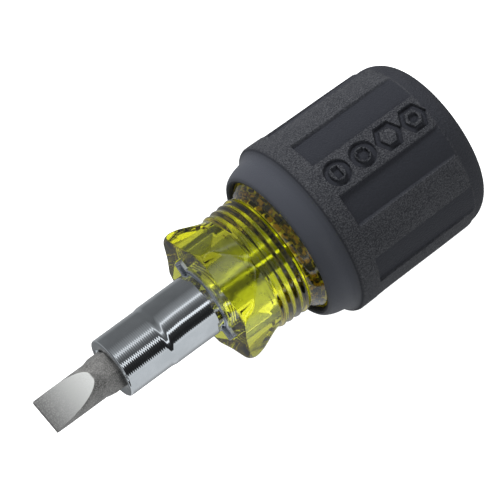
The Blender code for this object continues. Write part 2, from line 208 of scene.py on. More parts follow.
class Look:
    """A material with a Principled shader, and short ways to add nodes to it."""

    def __init__(self, name, **sockets):
        self.material = bpy.data.materials.new(name)
        self.material.use_nodes = True
        self.nodes = self.material.node_tree.nodes
        self.links = self.material.node_tree.links
        self.shader = self.nodes["Principled BSDF"]
        self.coordinates = self.nodes.new("ShaderNodeTexCoord").outputs["Object"]
        self.set(**sockets)

    def add(self, kind, inputs=None, **settings):
        """A new node with its settings and inputs."""
        node = self.nodes.new(kind)
        for key, value in settings.items():
            setattr(node, key, value)
        for key, value in (inputs or {}).items():
            feed(self.links, node.inputs[key], value)
        return node

    def along(self):
        """The position along the tool."""
        return self.add("ShaderNodeSeparateXYZ", {0: self.coordinates}).outputs[0]

    def relief(self):
        """The value that skin gave each point."""
        return self.add("ShaderNodeAttribute", attribute_name="relief").outputs["Fac"]

    def stretched(self, x, y, z):
        """Object coordinates scaled along each axis."""
        return self.add(
            "ShaderNodeMapping", {"Vector": self.coordinates, "Scale": (x, y, z)}
        ).outputs[0]

    def noise(self, scale, detail=3.0, vector=None, roughness=0.5):
        inputs = {
            "Vector": vector or self.coordinates,
            "Scale": scale,
            "Detail": detail,
            "Roughness": roughness,
        }
        return self.add("ShaderNodeTexNoise", inputs).outputs["Fac"]

    def ramp(self, value, low, high, to_low=0.0, to_high=1.0):
        """Runs from to_low to to_high while the value runs from low to high."""
        inputs = {0: value, 1: low, 2: high, 3: to_low, 4: to_high}
        return self.add("ShaderNodeMapRange", inputs).outputs[0]

    def math(self, operation, a, b=0.0):
        return self.add("ShaderNodeMath", {0: a, 1: b}, operation=operation).outputs[0]

    def mix(self, factor, a, b):
        """A mix of two colours."""
        node = self.add("ShaderNodeMix", {"Factor": factor}, data_type="RGBA")
        feed(self.links, node.inputs[6], a)
        feed(self.links, node.inputs[7], b)
        return node.outputs[2]

    def bump(self, height, strength, distance):
        inputs = {"Height": height, "Strength": strength, "Distance": distance}
        return self.add("ShaderNodeBump", inputs).outputs[0]

    def set(self, **sockets):
        """Links or sets sockets of the shader, with _ for each space in their names."""
        for socket, value in sockets.items():
            feed(self.links, self.shader.inputs[socket.replace("_", " ")], value)


# ------------------------------------------------------------------ materials
# The scale of a noise is in features per metre.
TURNING_PITCH = 0.38 * MM  # between the turning lines on the tube
TURNING_DEPTH = 0.003 * MM


def rubber():
    """Rubber that is sandy where it's raised and plainer between the ribs. Painted shade makes the floors
    between the ribs, the bottoms of the marks and the rear bend darker, and painted glints show as light
    specks on the sand.
    """
    look = Look("moulded_rubber", IOR=1.5, Specular_IOR_Level=0.17)
    relief = look.relief()
    grains = look.add(
        "ShaderNodeTexVoronoi", {"Vector": look.coordinates, "Scale": 3300.0}
    ).outputs["Distance"]
    fine = look.noise(4600.0, 2.0)
    broad = look.noise(140.0, 3.0)
    sand = look.math("ADD", grains, look.math("MULTIPLY", fine, 0.6))
    raised = look.ramp(relief, 0.0, 1.0, 0.12, 1.0)
    height = look.math("MULTIPLY", sand, raised)
    tone = look.mix(look.ramp(broad, 0.35, 0.65), (0.008, 0.0085, 0.0105), (0.013, 0.0135, 0.016))
    # Painted glints: light specks on the raised sand stand for its grains catching the light.
    painted_glints = look.math("MULTIPLY", look.ramp(fine, 0.4, 0.66), relief)
    colour = look.mix(look.math("MULTIPLY", painted_glints, 0.8), tone, (0.034, 0.035, 0.038))
    # Painted shade: where the relief is low, between the ribs, in the marks and round the rear bend, the
    # rubber is coloured darker.
    plain = look.mix(look.ramp(relief, 0.1, 0.42), (0.022, 0.0235, 0.0285), (0.011, 0.0117, 0.0145))
    look.set(
        Base_Color=look.mix(look.ramp(relief, 0.45, 0.95), plain, colour),
        Roughness=look.ramp(relief, 0.0, 0.3, 0.42, 0.68),
        Normal=look.bump(height, 0.9, 0.14 * MM),
    )
    return look.material


def clear_plastic():
    """Clear plastic whose colour deepens with its thickness."""
    look = Look(
        "clear_yellow_green",
        Base_Color=(0.68, 0.7, 0.09),
        Transmission_Weight=1.0,
        IOR=1.38,
        Coat_Weight=0.4,
        Coat_Roughness=0.03,
        Coat_IOR=1.8,
    )
    waves = look.noise(150.0, 2.0)
    look.set(
        Normal=look.bump(waves, 0.12, 0.3 * MM),
        Roughness=look.ramp(waves, 0.3, 0.7, 0.012, 0.04),
    )
    absorb = look.add("ShaderNodeVolumeAbsorption", {"Color": (0.86, 0.84, 0.02), "Density": 110.0})
    look.links.new(absorb.outputs[0], look.nodes["Material Output"].inputs["Volume"])
    return look.material


def amber():
    """Patchy amber for the blocks that key the core to the rubber."""
    look = Look("amber_blocks", Roughness=0.35)
    patches = look.noise(800.0, 3.0)
    tone = look.mix(look.ramp(patches, 0.46, 0.6), (0.008, 0.007, 0.003), (0.34, 0.18, 0.012))
    look.set(Base_Color=tone, Normal=look.bump(patches, 1.0, 0.3 * MM))
    return look.material


def backing():
    """Dark patchy amber with a painted glow: the surface emits its own colour, and a lighter band painted
    along its front edge stands for light coming through the neck.
    """
    # Painted glow: the emission lights up this part, which is no lamp.
    look = Look("amber_backing_painted_glow", Roughness=0.4, Emission_Strength=0.35)
    patches = look.noise(900.0, 4.0)
    along = look.along()
    keyed = look.mix(look.ramp(patches, 0.46, 0.58), (0.035, 0.032, 0.005), (0.26, 0.21, 0.015))
    # Painted light: a lighter band along the front edge, glowing with the rest.
    front = look.ramp(along, backing_x + 0.1 * MM, backing_x + 0.4 * MM, 1.0, 0.0)
    tone = look.mix(front, keyed, (0.6, 0.5, 0.05))
    look.set(Base_Color=tone, Emission_Color=tone, Normal=look.bump(patches, 1.0, 0.3 * MM))
    return look.material


def chrome():
    """Bright plating over fine turning lines, which are deepest on the narrow front of the tube."""
    look = Look("turned_chrome", Metallic=1.0)
    uneven = look.noise(1.0, 2.0, look.stretched(2600.0, 60.0, 60.0))
    along = look.along()
    step = tube_x + TUBE_STEP
    depth = look.ramp(along, step - 0.05 * MM, step + 0.25 * MM, 0.6, 0.2)
    turned = look.math("SINE", look.math("MULTIPLY", along, TURN / TURNING_PITCH))
    rings = look.math("ADD", turned, look.math("MULTIPLY", uneven, 1.5))
    cloud = look.noise(260.0, 4.0)
    look.set(
        Base_Color=look.mix(look.ramp(cloud, 0.4, 0.7), (0.6, 0.63, 0.66), (0.68, 0.71, 0.745)),
        Roughness=look.ramp(cloud, 0.3, 0.7, 0.04, 0.09),
        Normal=look.bump(look.math("MULTIPLY", rings, depth), 1.0, TURNING_DEPTH),
    )
    return look.material


def bit_steel():
    """Dark blasted steel, and brighter flats where the blade is ground. The flats also carry painted
    shading, darker towards the tip and lighter towards their far end, in place of the light on their hollow
    curve; the tip's end face takes the dark tone as painted shade.
    """
    look = Look("blasted_steel", Metallic=0.6)
    ground = look.relief()
    grit = look.noise(4600.0, 3.0)
    stain = look.noise(420.0, 5.0, roughness=0.65)
    along = look.along()
    dark = look.mix(look.ramp(stain, 0.38, 0.66), (0.075, 0.074, 0.072), (0.155, 0.153, 0.149))
    # Painted shading: the ground flats run from dark at the tip to bright at their far end, in place of the
    # light on their hollow curve.
    bright = look.mix(look.ramp(along, 0.5 * MM, 9.0 * MM), (0.12, 0.121, 0.12), (0.58, 0.59, 0.58))
    tone = look.mix(ground, dark, bright)
    look.set(
        Base_Color=look.mix(look.ramp(grit, 0.45, 0.65, 0.0, 0.28), tone, (0.42, 0.415, 0.405)),
        Roughness=look.ramp(stain, 0.3, 0.7, 0.36, 0.5),
        Normal=look.bump(grit, 0.5, 0.06 * MM),
    )
    return look.material


def steel(name, colour, roughness, grain):
    """Plain steel, with drawing lines along the tool."""
    look = Look(name, Metallic=1.0)
    drawn = look.noise(1.0, 2.0, look.stretched(300.0, grain, grain))
    cloud = look.noise(500.0, 3.0)
    dark = tuple(c * 0.7 for c in colour)
    look.set(
        Base_Color=look.mix(look.ramp(cloud, 0.35, 0.65), dark, colour),
        Roughness=look.ramp(cloud, 0.3, 0.7, roughness * 0.8, roughness * 1.3),
        Normal=look.bump(drawn, 0.15, 0.03 * MM),
    )
    return look.material


# ------------------------------------------------------------------ the rubber grip
RIBS = 8
RIB_HALF = math.radians(12)  # half the angle that a rib takes up
RIB_EDGE = math.radians(0.9)  # over which a rib's side rises
RIB_CROWN = 0.05 * MM
RECESS_EDGE = 0.3 * MM  # over which each end of the floor between two ribs rises
MARKS = 4
MARK_SIZE = 1.8 * MM  # from a mark's middle to the middle of its outline
MARK_PITCH = 5.2 * MM
MARK_DEPTH = 0.5 * MM
MARK_STROKE = 0.45 * MM  # half the width of its outline
MARK_EDGE = 0.08 * MM  # over which a mark's side falls
MARKS_FORWARD = 2.2 * MM  # from the middle of the rib to the middle of the row
REAR_HOLE_R = 8.62 * MM
FINE_HALF = math.radians(13.5)  # the rib with the marks takes finer steps, out to this angle
FINE_TURN = 0.0075  # radians from one point to the next
COARSE_TURN = 0.0135


def mark_depth(x, across):
    """How deep the four marks along the top rib are, from 0 to 1.

    They are a slot and a cross in rings, a hexagon, and a hexagon with a dot. Each is a distance from
    its outline, below zero inside.
    """
    first = (band_end + handle_end) / 2 - MARKS_FORWARD - MARK_PITCH * (MARKS - 1) / 2
    bar_half, bar_reach = 1.3 * MARK_STROKE, 0.55 * MARK_SIZE
    dot_r = 0.45 * MARK_SIZE
    v = np.abs(across)
    depth = np.zeros(v.shape)
    for i in range(MARKS):
        u = abs(x - (first + MARK_PITCH * i))
        out = np.hypot(u, v)
        ring = np.abs(out - MARK_SIZE) - MARK_STROKE
        hexagon = np.maximum(v, u * 0.866 + v * 0.5)
        outline = np.abs(hexagon - MARK_SIZE) - MARK_STROKE
        bar = np.maximum(u - bar_half, v - bar_reach)
        cross = np.minimum(bar, np.maximum(v - bar_half, u - bar_reach))
        mark = [
            np.minimum(ring, bar),
            np.minimum(ring, cross),
            outline,
            np.minimum(outline, out - dot_r),
        ][i]
        depth = np.maximum(depth, smooth(0.5 - mark / MARK_EDGE))
    return depth


def grip_sections():
    """Positions along the grip's outside, close together where its relief is fine."""
    return np.concatenate(
        [
            spread(lip_x, lip_x + 1.2 * MM, 0.06 * MM),
            spread(lip_x + 1.2 * MM, band_start - 1.4 * MM, 0.2 * MM),
            spread(band_start - 1.4 * MM, band_start + 0.6 * MM, 0.08 * MM),
            spread(band_start + 0.6 * MM, band_end - 0.3 * MM, 0.3 * MM),
            spread(band_end - 0.3 * MM, band_end + 0.5 * MM, 0.06 * MM),
            spread(band_end + 0.5 * MM, shoulder - 1.2 * MM, 0.12 * MM),
            spread(shoulder - 1.2 * MM, shoulder + 0.4 * MM, 0.08 * MM),
        ]
    )


def grip_radius(x, angles):
    """The grip's outer radius at one position, for each angle, and how raised it is there, which the
    rubber's colour also follows to paint shade where it is low.
    """
    collar = [
        (lip_x, 12.85 * MM),
        (lip_x + 0.25 * MM, 13.3 * MM),
        (lip_x + 0.9 * MM, 13.7 * MM),
        (lip_x + 1.9 * MM, 14.08 * MM),
        (band_start - 1.5 * MM, 14.45 * MM),
        (band_start - 0.7 * MM, 14.95 * MM),
        (band_start - 0.1 * MM, 15.7 * MM),
        (band_start + 0.35 * MM, band_r - 0.01 * MM),
        (band_start + 1.0 * MM, band_r - 0.01 * MM),
    ]
    if x < band_start + 1.0 * MM:
        raised = smooth((x - band_start + 0.5 * MM) / (0.6 * MM))
        return np.full(len(angles), through_points(collar, x)), np.full(len(angles), raised)
    top = through_points(
        [
            (band_start + 1.0 * MM, band_r - 0.01 * MM),
            (band_end, band_r - 0.06 * MM),
            (band_end + 2 * MM, band_r - 0.13 * MM),
            (shoulder - 1.0 * MM, band_r - 0.37 * MM),
            (shoulder - 0.5 * MM, band_r - 0.42 * MM),
            (shoulder + 0.05 * MM, FLOOR_R + 0.02 * MM),
            (shoulder + 0.5 * MM, FLOOR_R - 0.03 * MM),
        ],
        x,
    )
    pitch = TURN / RIBS
    away = np.abs((angles + pitch / 2) % pitch - pitch / 2)
    rib = 1 - smooth((away - RIB_HALF) / RIB_EDGE + 1 / 3)
    recess = smooth((x - band_end) / RECESS_EDGE)
    recess *= 1 - smooth((x - shoulder) / RECESS_EDGE + 1 / 3)
    depth = np.maximum(top - FLOOR_R, 0) * recess * (1 - rib)
    crown = RIB_CROWN * np.clip(away / RIB_HALF, 0, 1) ** 4 * recess
    radius = top - depth - crown * rib
    # How raised the rubber is, for its sand and for its painted shade: lower between the ribs and towards
    # the rear bend, where the colour is painted darker.
    raised = 1 - 0.55 * recess * (1 - rib)
    raised = raised * (1 - 0.4 * smooth((x - shoulder) / (0.5 * MM)))
    top_rib = np.minimum(angles % TURN, TURN - angles % TURN) < RIB_HALF
    turned = (angles + math.pi) % TURN - math.pi
    cut = mark_depth(x, turned * FLOOR_R) * top_rib
    # The marks' bottoms get a low relief, so their colour is painted dark as shade.
    return radius - MARK_DEPTH * cut, raised * (1 - 0.6 * cut)


def build_grip(look):
    fine = spread(-FINE_HALF, FINE_HALF, FINE_TURN)
    angles = np.concatenate([fine, spread(FINE_HALF, TURN - FINE_HALF, COARSE_TURN)])
    rings, relief = [], []
    for x in grip_sections():
        radius, raised = grip_radius(x, angles)
        rings.append(polar(x, radius, angles))
        relief.append(raised)
    for bend in np.linspace(0.09, math.pi / 2, 26):
        x = shoulder + REAR_BEND_R * math.sin(bend)
        rings.append(polar(x, FLOOR_R - REAR_BEND_R * (1 - math.cos(bend)) - 0.01 * MM, angles))
        # The rear bend's relief of 0.6 gives it part of the darker painted shade.
        relief.append(np.full(len(angles), 0.6))
    inner = [
        (handle_end, REAR_HOLE_R + 0.25 * MM),
        (handle_end - 0.25 * MM, REAR_HOLE_R),
        (handle_end - 3.0 * MM, REAR_HOLE_R),
        (handle_end - 3.1 * MM, CORE_R - 2.0 * MM),
        (handle_end - 6.0 * MM, CORE_R - 0.04 * MM),
        (lip_x + 0.9 * MM, CORE_R - 0.04 * MM),
        (lip_x + 0.35 * MM, CORE_R + 0.1 * MM),
        (lip_x + 0.08 * MM, CORE_R + 0.32 * MM),
    ]
    for x, r in inner:
        rings.append(polar(x, r, angles))
        relief.append(np.full(len(angles), 0.2))
    grip = skin("rubber_grip", rings, through=True, relief=relief)
    return dress(grip, look, "handle", "rubber_grip", "grip")


# ------------------------------------------------------------------ the clear core
LOBES = 6
# The core's outline: millimetres behind its face, and radii in millimetres
FLANGE = [
    (0, 11.25),
    (0.18, 11.6),
    (0.5, 11.85),
    (1.2, 12.0),
    (2.2, 11.85),
    (4.2, 11.1),
    (5.8, 10.5),
    (7.0, 10.2),
]
FLARE = [(12.8, 10.55), (13.4, 10.68), (14.4, 11.35), (15.3, 12.1), (15.6, 12.15)]
RIDGES = 4
RIDGES_START = 7.0  # millimetres behind the face
RIDGE_PITCH = 1.45  # in millimetres too
RIDGE_RISE = 0.34 * MM
NECK_RISE = 0.35 * MM  # of the ridges' feet, from the first ridge to the flare


def flute_radius(angles):
    """The radius of the flutes that part the flange's lobes."""
    step = TURN / LOBES
    valley = NECK_R + 0.05 * MM
    away = np.abs((angles - LOBE_ANGLE) % step - step / 2) / (step / 2)
    return valley + (FLANGE_R + 0.12 * MM - valley) * away**1.8


def core_radius(x, angles):
    """The outer radius of the clear core ahead of the rubber."""
    at = (x - face_x) / MM
    if at < RIDGES_START:
        envelope = np.full(len(angles), through_points(FLANGE, at) * MM)
        return smooth_min(envelope, flute_radius(angles), 0.16 * MM)
    turns = (at - RIDGES_START) / RIDGE_PITCH
    if turns < RIDGES:
        wave = 0.5 - 0.5 * math.cos(TURN * turns)
        base = NECK_R + NECK_RISE * turns / RIDGES
        return np.full(len(angles), base + RIDGE_RISE * wave**0.8)
    return np.full(len(angles), through_points(FLARE, at) * MM)


# Radius of the bore, and reach and width of its slots
LINER_INSIDE = BORE_R, 7.0 * MM, 2.5 * MM
LINER_OUTSIDE = BORE_R + 0.5 * MM, 7.5 * MM, 3.5 * MM
LINER_RECESS = 6.12 * MM, 7.6 * MM, 3.7 * MM


def from_slots(angles):
    """How far each angle is from the nearer of the two slots that the tube's ears pass along."""
    return np.abs((angles - LOBE_ANGLE + math.pi / 2) % math.pi - math.pi / 2)


def keyhole_radius(angles, bore_r, slot_r, width):
    """A round bore with a slot at each side, as a radius at each angle."""
    away = from_slots(angles)
    side = width / 2 / np.sin(np.maximum(away, 0.01))
    slot = smooth_min(slot_r / np.cos(away), side, SLOT_ROUND)
    return np.maximum(bore_r, slot)


def build_core(look):
    angles = even(432, LOBE_ANGLE)
    recess = keyhole_radius(angles, *LINER_RECESS)
    sleeve_end = liner_end + 0.1 * MM
    bore_end = tube_end + 0.5 * MM
    pocket_end = rear_bit_end + 1.4 * MM
    rings = [
        polar(pocket_end, POCKET_R, angles),
        polar(bore_end, POCKET_R, angles),
        polar(bore_end, BORE_R, angles),
        polar(sleeve_end, BORE_R, angles),
        polar(sleeve_end, recess, angles),
        polar(face_x + 0.15 * MM, recess, angles),
        polar(face_x, recess + 0.15 * MM, angles),
    ]
    front = core_radius(face_x + 0.02 * MM, angles)
    rings.append(polar(face_x, front - 0.25 * MM, angles))
    rings.append(polar(face_x + 0.01 * MM, front - 0.08 * MM, angles))
    mouth = face_x + 15.3 * MM
    for x in spread(face_x + 0.06 * MM, mouth, 0.07 * MM):
        rings.append(polar(x, core_radius(x, angles), angles))
    disc_start = handle_end - 3.3 * MM
    tail = [
        (mouth, CORE_R),
        (disc_start - 3.0 * MM, CORE_R),
        (disc_start, 10.3 * MM),
        (disc_start + 0.02 * MM, DISC_R),
        (core_end - 0.3 * MM, DISC_R),
        (core_end - 0.08 * MM, DISC_R - 0.1 * MM),
        (core_end, 8.2 * MM),
        (core_end, 6.0 * MM),
        (core_end - 0.35 * MM, 5.8 * MM),
        (core_end - 0.35 * MM, 1.2 * MM),
        (core_end - 0.15 * MM, 1.0 * MM),
        (core_end - 0.15 * MM, 0.1 * MM),
    ]
    rings += [polar(x, r, angles) for x, r in tail]
    core = skin("clear_core", rings)
    return dress(core, look, "handle", "clear_core", "handle_core")


# ------------------------------------------------------------------ what shows inside the neck
BLOCKS = 30
BLOCK_ROWS = 3
BLOCK_PITCH = 1.05 * MM
BLOCK_SHARE = 0.72  # of the pitch that a block fills
BLOCK_FOOT_R = 9.5 * MM
BLOCK_TOP_R = 10.2 * MM


def build_interlock(look):
    """Rows of amber blocks that key the core to the rubber, just inside the clear flare."""
    step = TURN / BLOCKS
    boxes, faces = [], []
    for row in range(BLOCK_ROWS):
        near_x = blocks_x + BLOCK_PITCH * row
        for i in range(BLOCKS):
            turn = step * (i + 0.5 * (row % 2))
            half = BLOCK_SHARE / 2 * step
            for x in (near_x, near_x + BLOCK_SHARE * BLOCK_PITCH):
                rise = 0.25 * max(0, x - blocks_x - 0.5 * MM)
                for r in (BLOCK_FOOT_R, BLOCK_TOP_R + rise):
                    for a in (turn - half, turn + half):
                        boxes.append((x, -r * math.sin(a), r * math.cos(a)))
            k = len(boxes) - 8
            faces += [
                (k, k + 1, k + 3, k + 2),
                (k + 4, k + 6, k + 7, k + 5),
                (k, k + 4, k + 5, k + 1),
                (k + 2, k + 3, k + 7, k + 6),
                (k, k + 2, k + 6, k + 4),
                (k + 1, k + 5, k + 7, k + 3),
            ]
    mesh = bpy.data.meshes.new("interlock_blocks")
    mesh.from_pydata(boxes, [], faces)
    blocks = put("interlock_blocks", mesh)
    bevel = blocks.modifiers.new("rounding", "BEVEL")
    bevel.width = 0.1 * MM
    bevel.segments = 2
    return dress(blocks, look, "handle", "clear_core")


def build_backing(look):
    """The surface behind the blocks, seen dark through the clear plastic, with a painted glow from its
    material.
    """
    angles = even(180)
    start = backing_x
    profile = [
        (start, 9.0 * MM),
        (start + 0.1 * MM, 9.6 * MM),
        (start + 1.6 * MM, 9.75 * MM),
        (start + 2.6 * MM, 10.9 * MM),
        (start + 3.3 * MM, 11.9 * MM),
        (start + 3.9 * MM, 12.2 * MM),
        (start + 4.8 * MM, 12.2 * MM),
        (start + 4.8 * MM, 9.0 * MM),
    ]
    backing = skin("rubber_backing", [polar(x, r, angles) for x, r in profile], through=True)
    return dress(backing, look, "handle", "clear_core")


# ------------------------------------------------------------------ liner, tube and bits
def build_liner(look):
    angles = even(360, LOBE_ANGLE)
    inside = keyhole_radius(angles, *LINER_INSIDE)
    outside = keyhole_radius(angles, *LINER_OUTSIDE)
    edge = 0.08 * MM
    front = face_x - LINER_PROUD
    rings = [
        polar(liner_end, inside, angles),
        polar(front + edge, inside, angles),
        polar(front, inside + edge, angles),
        polar(front, outside - edge, angles),
        polar(front + edge, outside, angles),
        polar(liner_end, outside, angles),
    ]
    liner = skin("liner_sleeve", rings, through=True)
    return dress(liner, look, "handle", "steel_liner", "socket_liner")


def hex_radius(angles, flats):
    """A hexagon's radius at each angle from the middle of one of its flats."""
    return flats / 2 / np.cos((angles + SIXTH_TURN / 2) % SIXTH_TURN - SIXTH_TURN / 2)


def build_tube(look):
    angles = even(288, SHAFT_ANGLE)
    socket = hex_radius(angles - SHAFT_ANGLE, HEX_FLATS + 0.1 * MM)
    nut = hex_radius(angles - SHAFT_ANGLE, NUT_FLATS)
    rim = 0.32 * MM
    across = from_slots(angles) * (EAR_R + TUBE_R + 0.15 * MM) / 2
    ear = 1 - smooth((across - EAR_WIDTH / 2) / (0.3 * MM) + 0.5)

    def outside(at):
        """The tube's outer radius, at a distance from either end."""
        if at < rim:
            return TUBE_END_R - rim + math.sqrt(max(rim**2 - (rim - at) ** 2, 0))
        return through_points(
            [
                (0, TUBE_END_R),
                (TUBE_STEP, TUBE_END_R),
                (TUBE_STEP + 0.1 * MM, TUBE_END_R + 0.01 * MM),
                (TUBE_STEP + 0.9 * MM, TUBE_R - 0.01 * MM),
                (TUBE_STEP + 1.05 * MM, TUBE_R),
                (20 * MM, TUBE_R),
            ],
            min(at, 20 * MM),
        )

    length = tube_end - tube_x
    half = np.concatenate(
        [
            rim * (1 - np.cos(np.linspace(0, math.pi / 2, 7))),
            [rim + 0.05 * MM, 4 * MM, TUBE_STEP - 0.1 * MM],
            spread(TUBE_STEP, TUBE_STEP + 1.15 * MM, 0.1 * MM),
            [12 * MM],
        ]
    )
    ear_x = length / 2 - EAR_LENGTH / 2
    rise = spread(ear_x - 0.1 * MM, ear_x + 0.5 * MM, 0.08 * MM)
    positions = np.concatenate([half, rise, [length / 2]])
    positions = np.concatenate([positions, (length - positions[:-1])[::-1]])
    rings = []
    for at in positions:
        base = outside(min(at, length - at))
        along = smooth((EAR_LENGTH / 2 - abs(at - length / 2)) / (0.4 * MM))
        rings.append(polar(tube_x + at, base + (EAR_R - TUBE_R) * ear * along, angles))
    lead = 0.35 * MM
    between_r = 3.4 * MM  # of the passage from one socket to the other
    inner = [
        (tube_end, np.maximum(nut, 4.75 * MM)),
        (tube_end - lead, nut),
        (tube_end - 4.5 * MM, nut),
        (tube_end - 4.55 * MM, np.maximum(socket, 3.6 * MM)),
        (tube_end - 4.9 * MM, socket),
        (tube_end - 13.3 * MM, socket),
        (tube_end - 13.5 * MM, between_r),
        (tube_x + 9.0 * MM, between_r),
        (tube_x + 8.8 * MM, socket),
        (tube_x + lead, socket),
        (tube_x, np.maximum(socket, 3.98 * MM)),
    ]
    rings += [polar(x, r, angles) for x, r in inner]
    tube = skin("socket_tube", rings, through=True)
    return dress(tube, look, "tube", "chrome_tube", "shaft")


# ------------------------------------------------------------------ the bits
FLAT_STEPS = 14
SIDE_STEPS = 56
LAST_FLAT = math.radians(6)  # half the angle of a flat where it runs out
TIP_HALF = 0.5 * MM  # half the blade's thickness at its tip
GRIND_CURVE = 1.45  # how much the ground flats curve: 1 is straight
CROSS_LENGTH = 8.0 * MM
CROSS_TIP_R = 1.0 * MM
LARGE_SHANK = 3.17 * MM, 9.3 * MM  # its radius, and how far the flats are ground from the blade's tip
SMALL_SHANK = 2.38 * MM, 7.4 * MM


def flat_angles(edge):
    """Angles of a ring with two flats, each reaching edge to either side, with the same count of points."""
    flat = np.linspace(-edge, edge, FLAT_STEPS, endpoint=False)
    side = np.linspace(edge, math.pi - edge, SIDE_STEPS, endpoint=False)
    half = np.concatenate([flat, side])
    return np.concatenate([half, half + math.pi])


def bit_rings(shank_r, grind):
    """A double-ended bit from its blade tip at 0 to its cross point, and where it's ground."""
    last_half = shank_r * math.cos(LAST_FLAT)
    angles = flat_angles(LAST_FLAT)
    hexagon = hex_radius(angles, HEX_FLATS)
    corner = HEX_FLATS / 2 / math.cos(SIXTH_TURN / 2)
    hex_start = (bit_length - HEX_LENGTH) / 2
    hex_end = hex_start + HEX_LENGTH

    def blade(x):
        half = TIP_HALF + (last_half - TIP_HALF) * (x / grind) ** GRIND_CURVE
        points = polar(x, shank_r, flat_angles(math.acos(half / shank_r)))
        points[:, 2] = np.clip(points[:, 2], -half, half)
        return points

    rings = [blade(0.0) * (1, 0.985, 0.94)]
    rings += [blade(x) for x in spread(0.06 * MM, grind, 0.22 * MM)]
    ground = [np.abs(np.abs(ring[:, 2]) - np.abs(ring[:, 2]).max()) < 1e-7 for ring in rings]
    # The tip's end face takes the dark blasted tone: painted shade for the dark edge at the tip.
    ground[0] = np.zeros(len(angles))
    rings += [polar(x, shank_r, angles) for x in (grind, hex_start - HEX_CHAMFER)]
    for share in np.linspace(0.05, 1, 9):
        cone = shank_r + (corner - shank_r) * share
        x = hex_start - HEX_CHAMFER * (1 - share)
        rings.append(polar(x, np.minimum(hexagon, cone), angles))
    for share in np.linspace(0, 0.95, 9):
        cone = corner + (shank_r - corner) * share
        x = hex_end - HEX_CHAMFER * (1 - share)
        rings.append(polar(x, np.minimum(hexagon, cone), angles))
    rings.append(polar(hex_end, shank_r, angles))
    for share in np.linspace(0, 1, 30):
        reach = shank_r + (CROSS_TIP_R - shank_r) * share
        groove = 0.62 * reach * smooth(share * 1.5)
        wing = reach - groove * np.abs(np.sin(2 * angles)) ** 0.6
        rings.append(polar(bit_length - CROSS_LENGTH * (1 - share), wing, angles))
    rings.append(rings[-1] * (1, 0.5, 0.5))
    ground += [np.zeros(len(angles))] * (len(rings) - len(ground))
    return rings, ground


def drill(bit, ball):
    """A blind hole in a bit, under its ball."""
    low, high = (Vector(corner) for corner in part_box(ball))
    centre = (low + high) / 2
    outward = Vector((0, centre.y, centre.z)).normalized()
    radius = (high.x - low.x) / 2 + HOLE_CLEARANCE
    depth = HOLE_DEPTH + HOLE_TOP
    form = bmesh.new()
    bmesh.ops.create_cone(form, cap_ends=True, segments=48, radius1=radius, radius2=radius, depth=depth)
    mesh = bpy.data.meshes.new("drill")
    form.to_mesh(mesh)
    form.free()
    tool = put("drill", mesh)
    tool.rotation_euler = outward.to_track_quat("Z", "Y").to_euler()
    tool.location = centre + outward * (HOLE_TOP - HOLE_DEPTH) / 2
    cut = bit.modifiers.new("hole", "BOOLEAN")
    cut.object = tool
    cut.solver = "EXACT"
    graph = bpy.context.evaluated_depsgraph_get()
    drilled = bpy.data.meshes.new_from_object(bit.evaluated_get(graph))
    bit.modifiers.clear()
    bit.data = drilled
    drilled.set_sharp_from_angle(angle=SHARP_ANGLE)
    bpy.data.objects.remove(tool)


def build_bit(name, look, shank, node, body, turned_round):
    """One bit: with its blade's tip at 0, or turned end for end at the rear."""
    turn = Matrix.Rotation(SHAFT_ANGLE, 3, "X")
    if turned_round:
        turn = turn @ Matrix.Rotation(math.pi, 3, "Z")
    place = np.array((rear_bit_end, 0, 0)) if turned_round else np.zeros(3)
    rings, ground = bit_rings(*shank)
    bit = skin(name, [ring @ np.array(turn).T + place for ring in rings], relief=ground)
    drill(bit, node + "_ball")
    return dress(bit, look, body, "bit_steel", node)


# ------------------------------------------------------------------ camera, floor and light
def add_camera():
    """The tool's axis runs up to the right, a little away from the camera."""
    axis_in_view = math.radians(36.13)
    axis_to_view = math.radians(73.6)
    top_turn = math.radians(14.8)
    distance = 546.9 * MM
    tip_right, tip_up = -32.0 * MM, -26.16 * MM
    along = Vector(
        (
            math.sin(axis_to_view) * math.cos(axis_in_view),
            math.sin(axis_to_view) * math.sin(axis_in_view),
            -math.cos(axis_to_view),
        )
    )
    near = (Vector((0, 0, 1)) - along * along.z).normalized()
    down = along.cross(near)
    near_in_frame = Vector((0, -math.sin(top_turn), math.cos(top_turn)))
    down_in_frame = Vector((0, -math.cos(top_turn), -math.sin(top_turn)))
    to_frame = Matrix((Vector((1, 0, 0)), near_in_frame, down_in_frame)).transposed()
    from_view = Matrix((along, near, down))
    turn = to_frame @ from_view
    place = -(turn @ Vector((tip_right, tip_up, -distance)))
    lens = bpy.data.cameras.new("camera")
    lens.lens = 252
    lens.sensor_width = 36
    lens.clip_start = 0.01
    camera = put("camera", lens)
    camera.matrix_world = Matrix.Translation(place) @ turn.to_4x4()
    bpy.context.scene.camera = camera
    return camera


def add_floor():
    """A plain pale floor, bright enough to look white."""
    half = 1.5
    corners = [(x * half, y * half, floor_z) for x, y in ((-1, -1), (1, -1), (1, 1), (-1, 1))]
    mesh = bpy.data.meshes.new("floor")
    mesh.from_pydata(corners, [], [(0, 1, 2, 3)])
    floor = put("floor", mesh)
    look = Look(
        "pale_floor",
        Roughness=0.8,
        Base_Color=(0.3, 0.3, 0.3),
        Specular_IOR_Level=0.0,
        Emission_Color=(0.98, 0.99, 1.0),
        Emission_Strength=0.9,
    )
    mesh.materials.append(look.material)
    floor.visible_glossy = False
    floor.visible_transmission = False


def add_light(name, camera, offset, size, power):
    """A soft area light, offset from the tool in the camera's right, up and near directions."""
    target = Vector((handle_end * 0.55, 0, 0))
    axes = camera.matrix_world.to_3x3()
    place = target + axes @ Vector(offset)
    light = bpy.data.lights.new(name, "AREA")
    light.shape = "RECTANGLE"
    light.size, light.size_y = size
    light.energy = power
    obj = put(name, light)
    obj.location = place
    obj.rotation_euler = (target - place).to_track_quat("-Z", "Y").to_euler()
    obj.visible_glossy = False
    obj.visible_transmission = False


